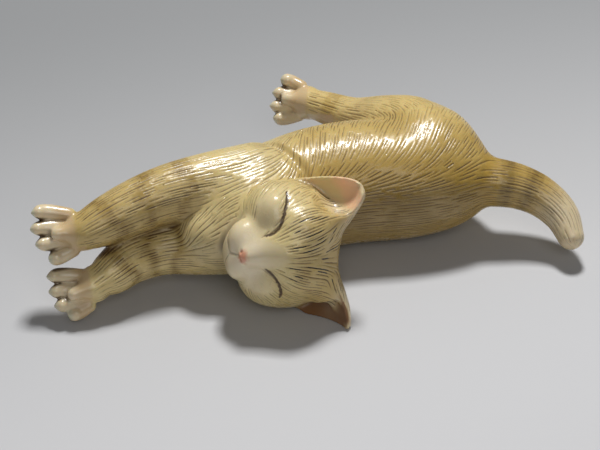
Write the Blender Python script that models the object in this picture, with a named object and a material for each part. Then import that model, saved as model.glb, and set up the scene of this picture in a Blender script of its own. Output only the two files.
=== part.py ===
"""A netsuke carved from one piece of ivory: a cat asleep on its left side and stretched out,
its head thrown back over its shoulders. Metres, +Z up, front paws towards -X, back towards -Y.
Run it with blender --background --python part.py, or from Blender's text editor."""

import math

import bmesh
import bpy
from mathutils import Matrix, Vector
from mathutils.bvhtree import BVHTree

# The whole carving follows this length, front paw tips to the bend of the tail
CAT_LENGTH = 0.0690

# Sizes of their own
EAR_WALL = 0.0010
SLIT_WIDTH = 0.0005
CORD_HOLE_RADIUS = 0.0016
CORD_HOLE_SPACING = 0.0100
CORD_CHANNEL_DEPTH = 0.0042
FLAT_DEPTH = 0.0005
FACET_BUDGET = 8200

# The pose is drawn in parts, 69 to the cat's length, which are millimetres at full size
PART = CAT_LENGTH / 69.0

# Each station is a point on the middle line of a limb and the radius there, in parts
TORSO = [
    (-10.8, -11.8, 7.6, 4.4),
    (-6.6, -7.9, 8.0, 6.7),
    (0.0, -3.5, 7.9, 7.6),
    (6.5, -1.3, 7.9, 7.9),
    (13.0, -0.7, 7.9, 7.7),
    (17.4, -0.5, 8.0, 6.9),
    (20.4, -1.0, 8.3, 5.2),
    (22.6, -1.7, 8.5, 3.7),
]
RIGHT_FORELEG = [
    (-6.0, -6.0, 10.9, 4.9),
    (-11.8, -8.2, 11.6, 4.1),
    (-16.7, -9.9, 11.9, 3.5),
    (-21.2, -12.0, 11.7, 3.05),
    (-25.0, -14.2, 11.4, 2.75),
    (-27.6, -15.4, 11.2, 2.6),
]
LEFT_FORELEG = [
    (-8.0, -11.4, 6.2, 4.2),
    (-12.5, -12.1, 5.6, 3.4),
    (-16.9, -12.4, 5.5, 3.0),
    (-21.1, -14.1, 5.4, 2.85),
    (-24.2, -16.2, 5.2, 2.55),
    (-26.2, -17.8, 5.1, 2.5),
]
RIGHT_HIND_LEG = [
    (16.4, 2.0, 10.2, 5.4),
    (14.4, 5.0, 10.4, 5.0),
    (11.4, 7.8, 10.3, 3.9),
    (7.5, 11.0, 9.8, 2.65),
    (3.4, 13.6, 9.6, 2.15),
    (0.6, 15.2, 9.5, 2.2),
]
LEFT_HIND_LEG = [
    (16.2, 2.4, 5.4, 5.2),
    (12.8, 7.4, 4.0, 3.8),
    (9.2, 10.2, 3.1, 2.8),
    (6.2, 11.4, 2.8, 2.2),
    (4.0, 11.8, 2.7, 2.2),
]
TAIL = [
    (20.4, -0.9, 8.5, 4.0),
    (24.2, -2.2, 8.6, 3.1),
    (28.0, -2.5, 8.0, 2.75),
    (31.2, -3.5, 7.0, 2.5),
    (33.6, -5.4, 5.6, 2.25),
    (34.7, -8.0, 4.2, 1.75),
]
RIGHT_HAUNCH = ((16.9, 1.4, 10.2), (5.9, 5.7, 5.4))

# Where the two holes for the cord sit under the body, either side of this point
CORD_PLACE = (9.5, -0.9)

# The head: its middle, and the ways that the face and the crown point
HEAD_CENTRE = (-1.8, -14.6, 8.9)
FACE_WAY = (-0.41, -0.80, 0.436)
CROWN_WAY = (0.90, -0.42, 0.08)

# The ears on the head, as parts towards the crown, the cat's right and the face
RIGHT_EAR = {"outer": (1.5, 7.5, -1.7), "inner": (6.6, 2.1, -0.9), "tip": (8.8, 7.8, -1.4)}
LEFT_EAR = {"outer": (3.3, -9.3, -1.9), "inner": (6.5, -2.9, -0.9), "tip": (9.2, -9.9, -1.0)}

# How far the middle of the face and the nose lie to the left of the skull's middle
FACE_SHIFT = -0.4
NOSE_SHIFT = -1.4

# How deep an ear is cupped, how round its tip is, and how far its leaf runs into the head
EAR_CUP = 1.7
EAR_ROUNDNESS = 0.5
EAR_ROOT = -0.3

# Each paw: middle of the palm, way the toes point, and each toe tip as (along, across) in parts
FRONT_WAY = (-0.97, -0.22, 0.02)
BACK_WAY = (-0.98, 0.15, 0.0)
PAWS = {
    "right fore": ((-28.6, -15.3, 11.2), FRONT_WAY, [(3.4, 2.9), (4.0, 1.0), (3.6, -0.9), (2.6, -2.7)]),
    "left fore": ((-26.6, -18.4, 5.0), FRONT_WAY, [(3.8, 2.2), (4.0, 0.3), (3.4, -1.5), (2.0, -2.8)]),
    "right hind": ((-0.4, 15.6, 9.4), BACK_WAY, [(2.5, 2.5), (3.3, 0.8), (3.4, -1.0), (2.7, -2.7)]),
    "left hind": ((3.2, 12.0, 3.0), BACK_WAY, [(2.5, 2.3), (3.3, 0.8), (3.4, -0.8), (2.7, -2.1)]),
}
PALM_RADII = (2.5, 3.0, 2.0)
TOE_SPREAD_WAY = (0.0, 0.616, 0.788)
TOE_LENGTH = 4.2
TOE_RADIUS = 1.05

# Steps along a limb between two stations, and round it
STEPS = 5
SIDES = 28

# Grain of the two skins, in parts, and how often each is smoothed
BODY_GRAIN = 0.42
BODY_PASSES = 16
DETAIL_GRAIN = 0.30
DETAIL_PASSES = 2


def clear_scene():
    for thing in list(bpy.data.objects):
        bpy.data.objects.remove(thing, do_unlink=True)


def smooth_run(stations, steps):
    """Points and radii on a Catmull-Rom curve through the stations, in metres."""
    rows = [Vector(row) * PART for row in stations]
    rows = [rows[0] * 2 - rows[1], *rows, rows[-1] * 2 - rows[-2]]
    run = []
    for before, start, end, after in zip(rows, rows[1:], rows[2:], rows[3:]):
        for step in range(steps):
            t = step / steps
            run.append(
                0.5
                * (
                    2 * start
                    + (end - before) * t
                    + (2 * before - 5 * start + 4 * end - after) * t**2
                    + (3 * start - before - 3 * end + after) * t**3
                )
            )
    run.append(rows[-2])
    return [(Vector(row[:3]), row[3]) for row in run]


def add_ball(shape, centre, radii, axes=None, sides=SIDES):
    """An ellipsoid. axes are three unit vectors, along which the radii run."""
    turn = Matrix(axes).transposed().to_4x4() if axes else Matrix.Identity(4)
    place = Matrix.Translation(centre) @ turn @ Matrix.Diagonal((*radii, 1.0))
    bmesh.ops.create_uvsphere(shape, u_segments=sides, v_segments=sides // 2, radius=1.0, matrix=place)


def bridge_rings(shape, rings):
    """A closed tube from rings of as many points each."""
    for low, high in zip(rings, rings[1:]):
        for corner in range(len(low)):
            after = (corner + 1) % len(low)
            shape.faces.new((low[corner], low[after], high[after], high[corner]))
    shape.faces.new(list(reversed(rings[0])))
    shape.faces.new(rings[-1])


def add_limb(shape, stations, steps=STEPS, sides=SIDES, round_ends=True):
    """A tapered limb: rings along its middle line, bridged, with a ball at either end."""
    run = smooth_run(stations, steps)
    rings = []
    side = Vector((0.0, 0.0, 1.0))
    for index, (point, radius) in enumerate(run):
        ahead = run[min(index + 1, len(run) - 1)][0] - run[max(index - 1, 0)][0]
        ahead.normalize()
        side = (side - ahead * side.dot(ahead)).normalized()
        across = ahead.cross(side)
        ring = []
        for corner in range(sides):
            angle = 2 * math.pi * corner / sides
            offset = side * math.cos(angle) + across * math.sin(angle)
            ring.append(shape.verts.new(point + radius * offset))
        rings.append(ring)
    bridge_rings(shape, rings)
    for point, radius in (run[0], run[-1]) if round_ends else ():
        add_ball(shape, point, (radius, radius, radius), sides=sides)


def head_axes():
    """The crown, right and face directions as unit vectors at right angles."""
    face = Vector(FACE_WAY).normalized()
    crown = Vector(CROWN_WAY)
    crown = (crown - face * crown.dot(face)).normalized()
    return crown, face.cross(crown), face


def on_head(up, right, out):
    """A point given in parts towards the crown, the right ear and the face."""
    crown, side, face = head_axes()
    return (Vector(HEAD_CENTRE) + up * crown + right * side + out * face) * PART


def add_head_ball(shape, up, right, out, radii):
    add_ball(shape, on_head(up, right, out), [r * PART for r in radii], head_axes())


def head_station(up, right, out, radius):
    return (*(on_head(up, right, out) / PART), radius)


def add_head(shape):
    """The skull on its neck, the cheeks and brows, and the folds that run out to the ears."""
    add_head_ball(shape, 0.5, -0.65, 0.0, (6.2, 7.8, 6.4))
    add_limb(shape, [head_station(-1.5, 0.0, -3.0, 5.4), (-6.0, -10.0, 8.2, 5.8)])
    for side in (1, -1):
        add_head_ball(shape, -1.3, 1.2 * FACE_SHIFT + side * 3.9, 1.9, (3.3, 3.5, 3.6))
        add_head_ball(shape, 3.2, FACE_SHIFT + side * 2.5, 3.4, (2.5, 2.4, 2.0))
        fold = [
            head_station(3.9, FACE_SHIFT + side * 2.3, 1.8, 2.6),
            head_station(5.9, FACE_SHIFT + side * 4.4, -0.1, 2.15),
            head_station(8.0, FACE_SHIFT + side * 6.9, -1.5, 0.95),
        ]
        add_limb(shape, fold)
    ridge = [
        head_station(5.5, FACE_SHIFT - 3.0, -0.3, 1.4),
        head_station(5.5, FACE_SHIFT + 3.0, -0.3, 1.4),
    ]
    add_limb(shape, ridge)


def add_face(shape):
    """The muzzle, the bridge of the nose, the chin and the bulges of the closed eyes."""
    bridge = [
        head_station(2.8, FACE_SHIFT, 3.9, 2.5),
        head_station(0.4, FACE_SHIFT - 0.2, 5.0, 2.15),
        head_station(-1.4, NOSE_SHIFT + 0.1, 6.4, 1.5),
    ]
    add_limb(shape, bridge)
    add_head_ball(shape, -4.2, NOSE_SHIFT, 4.9, (1.6, 2.0, 1.7))
    add_head_ball(shape, -3.1, NOSE_SHIFT + 1.75, 5.6, (1.95, 2.35, 2.05))
    add_head_ball(shape, -3.2, NOSE_SHIFT - 1.6, 5.6, (1.9, 2.1, 1.95))
    add_head_ball(shape, -1.8, NOSE_SHIFT, 7.5, (0.7, 0.95, 0.65))
    for side in (1, -1):
        add_head_ball(shape, 0.1, 0.6 * FACE_SHIFT + side * 3.9, 4.4, (1.9, 2.6, 1.9))


def leaf_grid(corners, rows, columns):
    """Points of a cupped leaf from below its foot on the head up to its tip, row by row."""
    outer_corner = on_head(*corners["outer"])
    inner_corner = on_head(*corners["inner"])
    tip = on_head(*corners["tip"])
    foot = (outer_corner + inner_corner) / 2
    rise = tip - foot
    across = inner_corner - outer_corner
    across -= rise * (across.dot(rise) / rise.length_squared)
    front = rise.cross(across).normalized()
    if front.dot(head_axes()[2]) < 0:
        front.negate()
    grid = []
    for row in range(rows + 1):
        t = EAR_ROOT + (1 - EAR_ROOT) * row / rows
        taper = (1 - t) ** EAR_ROUNDNESS
        dip = EAR_CUP * PART * min(taper, 1.0)
        line = []
        for column in range(columns + 1):
            share = 2 * column / columns - 1
            bend = front * (dip * (share**2 - 0.75))
            line.append(foot + rise * t + across * (0.5 * share * taper) + bend)
        grid.append(line)
    return grid


def add_ear(shape, corners):
    """The leaf given a wall on both sides, with a round bead along its rim."""
    rows, columns = 14, 12
    grid = leaf_grid(corners, rows, columns)
    sheet = bmesh.new()
    dots = [[sheet.verts.new(point) for point in line] for line in grid]
    for low, high in zip(dots[:-1], dots[1:]):
        for column in range(columns):
            sheet.faces.new((low[column], low[column + 1], high[column + 1], high[column]))
    leaf = mesh_object("ear_leaf", sheet)
    wall = leaf.modifiers.new("ear wall", "SOLIDIFY")
    wall.thickness = EAR_WALL
    wall.offset = 0.0
    shape.from_mesh(as_mesh(leaf))
    rim = [line[0] for line in grid] + [line[-1] for line in reversed(grid[:-1])]
    add_limb(shape, [(*(point / PART), 0.5 * EAR_WALL / PART) for point in rim], steps=1, sides=8)


def add_paw(shape, centre, point_way, toes):
    """A palm and four toes side by side."""
    along = Vector(point_way).normalized()
    across = Vector(TOE_SPREAD_WAY)
    across = (across - along * across.dot(along)).normalized()
    middle = Vector(centre)
    axes = (along, across, along.cross(across))
    add_ball(shape, middle * PART, [radius * PART for radius in PALM_RADII], axes)
    for reach, shift in toes:
        root = middle + along * (reach - TOE_LENGTH) + across * (0.72 * shift)
        tip = middle + along * reach + across * shift
        knuckle = root.lerp(tip, 0.6)
        end = tip - along * (0.6 * TOE_RADIUS)
        add_limb(
            shape,
            [(*root, 0.85 * TOE_RADIUS), (*knuckle, TOE_RADIUS), (*end, 0.78 * TOE_RADIUS)],
        )


def mesh_object(name, shape):
    """A named object from a bmesh, with its faces pointing out."""
    bmesh.ops.recalc_face_normals(shape, faces=shape.faces)
    mesh = bpy.data.meshes.new(name)
    shape.to_mesh(mesh)
    shape.free()
    made = bpy.data.objects.new(name, mesh)
    bpy.context.scene.collection.objects.link(made)
    return made


def as_mesh(source):
    """The mesh of an object with its modifiers done. The object itself goes."""
    bpy.context.view_layer.update()
    graph = bpy.context.evaluated_depsgraph_get()
    mesh = bpy.data.meshes.new_from_object(source.evaluated_get(graph))
    bpy.data.objects.remove(source, do_unlink=True)
    return mesh


def fused(source, grain, passes):
    """The overlapping forms of an object grown into one skin, then smoothed."""
    remesh = source.modifiers.new("one skin", "REMESH")
    remesh.mode = "VOXEL"
    remesh.voxel_size = grain * PART
    smooth = source.modifiers.new("soften", "SMOOTH")
    smooth.factor = 0.5
    smooth.iterations = passes
    return as_mesh(source)


def body_skin():
    shape = bmesh.new()
    for limb in (TORSO, RIGHT_FORELEG, LEFT_FORELEG, RIGHT_HIND_LEG, LEFT_HIND_LEG, TAIL):
        add_limb(shape, limb)
    centre, radii = RIGHT_HAUNCH
    add_ball(shape, Vector(centre) * PART, [r * PART for r in radii])
    add_head(shape)
    return fused(mesh_object("body_forms", shape), BODY_GRAIN, BODY_PASSES)


def carved_skin():
    """The body with the face, ears and paws grown onto it."""
    shape = bmesh.new()
    shape.from_mesh(body_skin())
    add_face(shape)
    for corners in (RIGHT_EAR, LEFT_EAR):
        add_ear(shape, corners)
    for centre, point_way, toes in PAWS.values():
        add_paw(shape, centre, point_way, toes)
    return fused(mesh_object("carved_forms", shape), DETAIL_GRAIN, DETAIL_PASSES)


def add_cut(target, cutter):
    cutter.display_type = "WIRE"
    cutter.hide_render = True
    cut = target.modifiers.new(cutter.name, "BOOLEAN")
    cut.operation = "DIFFERENCE"
    cut.object = cutter


def slit_lines():
    """The closed eyes and the mouth, as rows of (up, right) points on the face, in parts."""
    philtrum = [(-2.4, 0.0), (-2.9, 0.0), (-3.4, 0.0)]
    lips = [(-3.2, 4.2), (-4.0, 3.7), (-4.6, 2.9), (-4.7, 1.6), (-4.0, 0.0)]
    lips += [(up, -right) for up, right in reversed(lips[:-1])]
    lines = [[(up, NOSE_SHIFT + right) for up, right in line] for line in (philtrum, lips)]
    right_eye = [(1.2, 5.9), (1.65, 5.0), (1.8, 4.0), (1.75, 3.0), (1.4, 2.2), (0.8, 1.6)]
    left_eye = [(2.2, -6.0), (2.4, -5.0), (2.2, -4.2), (1.8, -3.6), (1.3, -3.1), (0.7, -2.7)]
    return [*lines, right_eye, left_eye]


def slit_cutter(skin):
    """Fine rods, pointed at both ends, that lie half sunk in the face along those lines."""
    tree = BVHTree.FromPolygons([v.co for v in skin.vertices], [face.vertices for face in skin.polygons])
    shape = bmesh.new()
    inward = -head_axes()[2]
    for line in slit_lines():
        stations = []
        for index, (up, right) in enumerate(line):
            spot = tree.ray_cast(on_head(up, right, 15.0), inward)[0]
            at_end = index in (0, len(line) - 1)
            radius = 0.5 * SLIT_WIDTH * (0.4 if at_end else 1.0)
            stations.append((*(spot / PART), radius / PART))
        add_limb(shape, stations, steps=2, sides=6, round_ends=False)
    return mesh_object("slit_cutter", shape)


def underside_cutter():
    """A slab whose top face is the plane that the cat lies on."""
    shape = bmesh.new()
    size = 2 * CAT_LENGTH
    place = Matrix.Translation((0.0, 0.0, FLAT_DEPTH - size / 2)) @ Matrix.Scale(size, 4)
    bmesh.ops.create_cube(shape, size=1.0, matrix=place)
    return mesh_object("underside_cutter", shape)


def cord_channel_cutter():
    """A bent rod that enters the underside, turns inside the body and comes out again."""
    shape = bmesh.new()
    bends, sides = 16, 14
    half = CORD_HOLE_SPACING / 2
    middle = Vector((*CORD_PLACE, 0.0)) * PART
    middle.z = FLAT_DEPTH
    rings = []
    for bend in range(bends + 1):
        angle = math.pi * (-0.12 + 1.24 * bend / bends)
        arm = Vector((math.cos(angle) * half, 0.0, math.sin(angle) * CORD_CHANNEL_DEPTH))
        ahead = Vector((-math.sin(angle) * half, 0.0, math.cos(angle) * CORD_CHANNEL_DEPTH)).normalized()
        side = Vector((0.0, 1.0, 0.0))
        across = ahead.cross(side)
        ring = []
        for corner in range(sides):
            turn = 2 * math.pi * corner / sides
            offset = side * math.cos(turn) + across * math.sin(turn)
            ring.append(shape.verts.new(middle + arm + CORD_HOLE_RADIUS * offset))
        rings.append(ring)
    bridge_rings(shape, rings)
    return mesh_object("cord_channel_cutter", shape)


def ivory():
    material = bpy.data.materials.new("ivory")
    material.use_nodes = True
    finish = material.node_tree.nodes["Principled BSDF"]
    finish.inputs["Base Color"].default_value = (0.72, 0.56, 0.30, 1.0)
    finish.inputs["Roughness"].default_value = 0.28
    finish.inputs["Metallic"].default_value = 0.0
    return material


def stand_on_origin(things, model):
    """Moves everything so that the model's box stands on the origin by its middle."""
    bpy.context.view_layer.update()
    shown = model.evaluated_get(bpy.context.evaluated_depsgraph_get())
    corners = [vertex.co for vertex in shown.data.vertices]
    low = [min(corner[axis] for corner in corners) for axis in range(3)]
    high = [max(corner[axis] for corner in corners) for axis in range(3)]
    for thing in things:
        thing.location = (-(low[0] + high[0]) / 2, -(low[1] + high[1]) / 2, -low[2])
    bpy.context.view_layer.update()


def main():
    clear_scene()
    skin = carved_skin()
    skin.materials.clear()
    skin.materials.append(ivory())
    cat = bpy.data.objects.new("cat", skin)
    bpy.context.scene.collection.objects.link(cat)
    fewer = cat.modifiers.new("fewer facets", "DECIMATE")
    fewer.ratio = FACET_BUDGET / sum(len(face.vertices) - 2 for face in skin.polygons)
    cutters = [underside_cutter(), cord_channel_cutter(), slit_cutter(skin)]
    for cutter in cutters:
        add_cut(cat, cutter)
    stand_on_origin([cat, *cutters], cat)


main()
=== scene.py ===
# A carved ivory cat, asleep on its side and stretched out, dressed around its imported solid.
# The form is sculpted as a distance field in parts of a 69th of the cat's length, which are
# millimetres at full size, in the same pose and stations as the solid.

import math
import time

import bpy
import numpy as np
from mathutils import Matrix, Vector


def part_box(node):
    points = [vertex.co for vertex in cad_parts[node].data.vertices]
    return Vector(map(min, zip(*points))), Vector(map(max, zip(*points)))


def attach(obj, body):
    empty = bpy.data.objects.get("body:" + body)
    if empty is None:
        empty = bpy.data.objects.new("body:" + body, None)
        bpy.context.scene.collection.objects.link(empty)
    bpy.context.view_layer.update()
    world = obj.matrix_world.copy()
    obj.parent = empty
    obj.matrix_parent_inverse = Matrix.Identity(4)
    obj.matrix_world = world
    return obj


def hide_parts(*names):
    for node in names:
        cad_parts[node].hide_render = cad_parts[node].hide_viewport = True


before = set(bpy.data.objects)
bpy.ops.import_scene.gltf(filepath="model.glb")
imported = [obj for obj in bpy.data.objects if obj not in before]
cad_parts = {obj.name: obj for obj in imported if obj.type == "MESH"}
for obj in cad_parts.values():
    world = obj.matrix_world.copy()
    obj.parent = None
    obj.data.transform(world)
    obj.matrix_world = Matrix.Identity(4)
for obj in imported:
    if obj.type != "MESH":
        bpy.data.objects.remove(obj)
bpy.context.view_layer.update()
catLow, catHigh = (np.array(corner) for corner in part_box("cat"))
startTime = time.time()


def say(words):
    print(f"{time.time() - startTime:6.1f} s  {words}")


# Stations of the middle lines, as x, y, z and radius in parts
catForm = {
    "restPlane": 0.5,
    "torso": [
        (-10.8, -11.8, 7.6, 4.4),
        (-6.6, -7.9, 8.0, 6.7),
        (0.0, -3.5, 7.9, 7.6),
        (6.5, -1.3, 7.9, 7.9),
        (13.0, -0.7, 7.9, 7.7),
        (17.4, -0.5, 8.0, 6.9),
        (20.4, -1.0, 8.3, 5.2),
        (22.0, -1.5, 8.4, 3.5),
    ],
    "rightForeleg": [
        (-6.0, -5.7, 11.1, 4.9),
        (-11.8, -7.9, 11.9, 4.15),
        (-16.7, -9.8, 12.0, 3.65),
        (-21.2, -12.2, 11.5, 3.25),
        (-24.4, -14.2, 10.9, 2.8),
        (-25.9, -15.2, 10.6, 2.3),
    ],
    "leftForeleg": [
        (-8.0, -11.4, 6.2, 4.2),
        (-12.5, -12.1, 5.6, 3.4),
        (-16.9, -12.4, 5.6, 3.2),
        (-20.8, -14.2, 5.6, 3.1),
        (-23.0, -16.2, 5.1, 2.75),
        (-24.0, -17.2, 4.9, 2.15),
    ],
    "rightHindleg": [
        (16.6, 2.6, 10.4, 5.6),
        (14.6, 5.5, 10.5, 5.2),
        (11.6, 8.1, 10.4, 4.0),
        (7.5, 11.0, 9.8, 2.65),
        (3.6, 13.6, 9.6, 2.2),
        (1.6, 14.9, 9.5, 1.95),
    ],
    "leftHindleg": [
        (16.2, 2.4, 5.4, 5.2),
        (12.8, 7.4, 4.0, 3.8),
        (9.2, 10.2, 3.1, 2.8),
        (7.0, 11.2, 2.8, 2.2),
        (5.2, 11.7, 2.8, 1.95),
    ],
    "tail": [
        (20.4, -0.9, 8.5, 3.4),
        (24.2, -2.1, 8.6, 3.2),
        (28.0, -2.5, 8.1, 2.9),
        (31.2, -3.5, 7.1, 2.6),
        (33.6, -5.4, 5.7, 2.25),
        (34.7, -8.0, 4.2, 1.7),
    ],
    "haunch": ((17.1, 1.9, 10.4), (6.1, 6.0, 5.6)),
    "neckEnd": (-6.0, -10.0, 8.2, 5.9),
    "shoulderCrease": [
        (-7.4, -0.6, 13.4, 0.2),
        (-5.2, -1.6, 14.3, 0.4),
        (-3.1, -3.5, 15.2, 0.5),
        (-1.2, -5.9, 15.2, 0.5),
        (0.5, -7.9, 14.2, 0.45),
        (1.4, -9.4, 12.4, 0.2),
    ],
    "cordPlace": (9.5, -0.9),
    "cordHoleRadius": 1.6,
    "cordHoleSpacing": 10.0,
    "cordChannelDepth": 4.2,
}

# Everything on the head is given as (crown, right, face) from its middle
headForm = {
    "middle": (-1.8, -14.6, 8.9),
    "faceWay": (-0.41, -0.80, 0.436),
    "crownWay": (0.90, -0.42, 0.08),
    "faceShift": -0.4,
    "noseShift": -1.0,
    "skull": ((0.5, -0.65, 0.0), (6.2, 7.8, 6.4)),
    "rightEye": [
        (0.8, 6.5), (1.35, 5.8), (1.7, 5.0), (1.8, 4.0),
        (1.75, 3.0), (1.4, 2.2), (0.8, 1.6), (0.1, 1.3),
    ],
    "leftEye": [(2.0, -6.3), (2.3, -5.7), (2.4, -5.0), (2.2, -4.2), (1.8, -3.6), (1.3, -3.1), (0.7, -2.7)],
    "rightEar": {"outer": (1.5, 7.5, -1.7), "inner": (6.6, 2.1, -0.9), "tip": (8.8, 7.8, -1.4)},
    "leftEar": {"outer": (3.3, -9.3, -1.9), "inner": (6.5, -2.9, -0.9), "tip": (9.2, -9.9, -1.0)},
    "rightScoop": ((6.4, 6.7, 0.8), (2.9, 2.3, 3.3)),
    "leftScoop": ((7.3, -8.1, -0.1), (1.9, 2.0, 1.5)),
    "eyeLine": 0.17,
    "lipLine": 0.13,
    "earWall": 0.9,
    "earCup": 1.7,
    "earRoundness": 0.5,
}

# Each paw: middle, way the toes point, and the tip of each toe as (along, across)
pawForm = {
    "rightFore": (
        (-28.6, -15.75, 10.6),
        (-0.97, -0.22, 0.02),
        [(3.6, 2.9), (4.0, 0.95), (3.6, -0.95), (2.2, -2.8)],
    ),
    "leftFore": (
        (-26.6, -18.75, 4.55),
        (-0.97, -0.22, 0.02),
        [(4.1, 1.85), (4.1, 0.0), (3.6, -1.75), (2.0, -3.0)],
    ),
    "rightHind": (
        (-0.4, 15.6, 9.4),
        (-0.98, 0.15, 0.0),
        [(2.4, 2.75), (3.4, 0.9), (3.6, -0.9), (3.0, -2.5)],
    ),
    "leftHind": (
        (3.2, 12.0, 3.2),
        (-0.98, 0.15, 0.0),
        [(2.5, 2.3), (3.3, 0.8), (3.4, -0.8), (2.7, -2.2)],
    ),
    "spreadWay": (0.0, 0.616, 0.788),
    "toeLengths": {"rightFore": 4.5, "leftFore": 4.3, "rightHind": 3.5, "leftHind": 3.5},
    "furLines": {"rightFore": -1.1, "leftFore": -0.8, "rightHind": -1.5, "leftHind": -1.5},
    "toeRadius": 0.95,
}

sculptGrid = {"step": 0.2, "block": 4, "low": (-35.2, -24.8, -1.0), "high": (38.4, 21.2, 19.2)}

# Distance noted where a form is too far off to be worked out
farAway = 1e3


def unit(vector):
    vector = np.asarray(vector, float)
    return vector / np.linalg.norm(vector)


def joinSoft(first, second, fillet):
    share = np.clip(0.5 + 0.5 * (second - first) / fillet, 0, 1)
    return second + (first - second) * share - fillet * share * (1 - share)


def cutSoft(body, tool, fillet):
    return -joinSoft(-body, tool, fillet)


def rise(value, low, high):
    share = np.clip((value - low) / (high - low), 0, 1)
    return share * share * (3 - 2 * share)


def curveThrough(stations, steps=5):
    rows = np.asarray(stations, float)
    rows = np.vstack([2 * rows[0] - rows[1], rows, 2 * rows[-1] - rows[-2]])
    curve = []
    for before, start, end, after in zip(rows, rows[1:], rows[2:], rows[3:]):
        for step in range(steps):
            t = step / steps
            bend = 2 * before - 5 * start + 4 * end - after
            twist = 3 * start - before - 3 * end + after
            curve.append(0.5 * (2 * start + (end - before) * t + bend * t**2 + twist * t**3))
    curve.append(rows[-2])
    return np.array(curve)


def tube(points, stations, steps=8, reach=3.0):
    # Distance to a tapered tube, worked out only for points within reach of its box
    curve = curveThrough(stations, steps)
    far = np.full(len(points), farAway)
    low = (curve[:, :3] - curve[:, 3:]).min(0) - reach
    high = (curve[:, :3] + curve[:, 3:]).max(0) + reach
    near = np.all((points > low) & (points < high), axis=1)
    close = points[near]
    best = np.full(len(close), farAway)
    for start, end in zip(curve[:-1], curve[1:]):
        run = end[:3] - start[:3]
        offset = close - start[:3]
        t = np.clip(offset @ run / (run @ run), 0, 1)
        gap = np.sqrt(((offset - t[:, None] * run) ** 2).sum(1)) - (start[3] + t * (end[3] - start[3]))
        best = np.minimum(best, gap)
    far[near] = best
    return far


def ellipsoid(points, centre, radii, reach=3.0):
    radii = np.asarray(radii, float)
    offset = points - np.asarray(centre, float)
    far = np.full(len(points), farAway)
    near = (offset**2).sum(1) < (radii.max() + reach) ** 2
    close = offset[near]
    inner = np.sqrt(((close / radii) ** 2).sum(1))
    outer = np.sqrt(((close / radii**2) ** 2).sum(1))
    far[near] = inner * (inner - 1) / np.maximum(outer, 1e-6)
    return far


faceWay = unit(headForm["faceWay"])
crownWay = np.array(headForm["crownWay"])
crownWay = unit(crownWay - faceWay * (faceWay @ crownWay))
rightWay = np.cross(faceWay, crownWay)
headAxes = np.array([crownWay, rightWay, faceWay])
headMiddle = np.array(headForm["middle"])


def toHead(points):
    return (points - headMiddle) @ headAxes.T


def fromHead(spot):
    return headMiddle + np.asarray(spot, float) @ headAxes


neckStations = [(*fromHead((-1.5, 0.0, -3.0)), 5.5), catForm["neckEnd"]]


def pawAxes(way):
    along = unit(way)
    across = np.array(pawForm["spreadWay"])
    across = unit(across - along * (along @ across))
    return np.array([along, across, np.cross(along, across)])


pawNames = ["rightFore", "leftFore", "rightHind", "leftHind"]


def pawField(points, name):
    centre, way, toes = pawForm[name]
    length, radius = pawForm["toeLengths"][name], pawForm["toeRadius"]
    far = np.full(len(points), farAway)
    near = ((points - centre) ** 2).sum(1) < 9.0**2
    local = (points[near] - centre) @ pawAxes(way).T
    root = toes[1][0] - length
    middle = 0.5 * (toes[0][1] + toes[-1][1])
    palm = ellipsoid(local, (root - 1.3, -0.6 * middle, -0.1), (2.0, 2.3, 1.5))
    pad = [(root - 1.0, 0.0, -0.6, 1.0), (root + 1.4, middle, -0.7, 0.85)]
    paw = joinSoft(palm, tube(local, pad, 3), 0.8)
    for along, across in toes:
        span = along - root
        toe = [
            (root - 0.3, 0.75 * across, 0.25, 0.9 * radius),
            (root + 0.4 * span, 0.92 * across, 0.5, 1.03 * radius),
            (root + 0.7 * span, across, 0.4, radius),
            (along - 0.85 * radius, across, 0.05, 0.85 * radius),
        ]
        paw = joinSoft(paw, tube(local, toe, 4), 0.2)
    for along, across in toes:
        claw = ellipsoid(local, (along - 0.35, across, -0.05), (0.55, 0.4, 0.42))
        paw = joinSoft(paw, claw, 0.1)
    for (along, across), (nextAlong, nextAcross) in zip(toes, toes[1:]):
        end = 0.5 * (along + nextAlong) - 1.2
        middle = 0.5 * (across + nextAcross)
        slit = [
            (root, 0.82 * middle, 1.2, 0.42),
            (root + 0.8, 0.88 * middle, 0.9, 0.28),
            (end, middle, 0.45, 0.24),
        ]
        paw = cutSoft(paw, tube(local, slit, 3), 0.12)
    far[near] = paw
    return far


def earAxes(corners):
    outer, inner, tip = (np.array(corners[name], float) for name in ("outer", "inner", "tip"))
    foot = (outer + inner) / 2
    height = np.linalg.norm(tip - foot)
    upWay = (tip - foot) / height
    acrossWay = inner - outer
    acrossWay = acrossWay - upWay * (acrossWay @ upWay)
    halfWidth = np.linalg.norm(acrossWay) / 2
    return foot, tip, height, halfWidth, upWay, acrossWay / (2 * halfWidth)


def earField(local, corners, side):
    foot, tip, height, halfWidth, upWay, acrossWay = earAxes(corners)
    frontWay = np.cross(upWay, acrossWay) * side
    far = np.full(len(local), farAway)
    near = ((local - (foot + tip) / 2) ** 2).sum(1) < (height / 2 + 5.0) ** 2
    offset = local[near] - foot
    t = offset @ upWay / height
    x = offset @ acrossWay
    z = offset @ frontWay
    taper = (1 - np.clip(t, -0.3, 0.995)) ** headForm["earRoundness"]
    width = halfWidth * taper + 0.15
    dip = headForm["earCup"] * np.minimum(taper, 1.0)
    share = x / width
    sheet = (z - dip * (share**2 - 0.75)) / np.sqrt(1 + (2 * dip * share / width) ** 2)
    edge = (np.abs(x) - width) * 0.85
    edge = np.maximum(edge, (t - 1) * height)
    edge = np.maximum(edge, (-0.45 - t) * height)
    half = headForm["earWall"] / 2
    rounded = np.sqrt(np.maximum(np.abs(sheet) - 0.1, 0) ** 2 + np.maximum(edge + half, 0) ** 2)
    far[near] = rounded - half + 0.1
    return far


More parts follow.
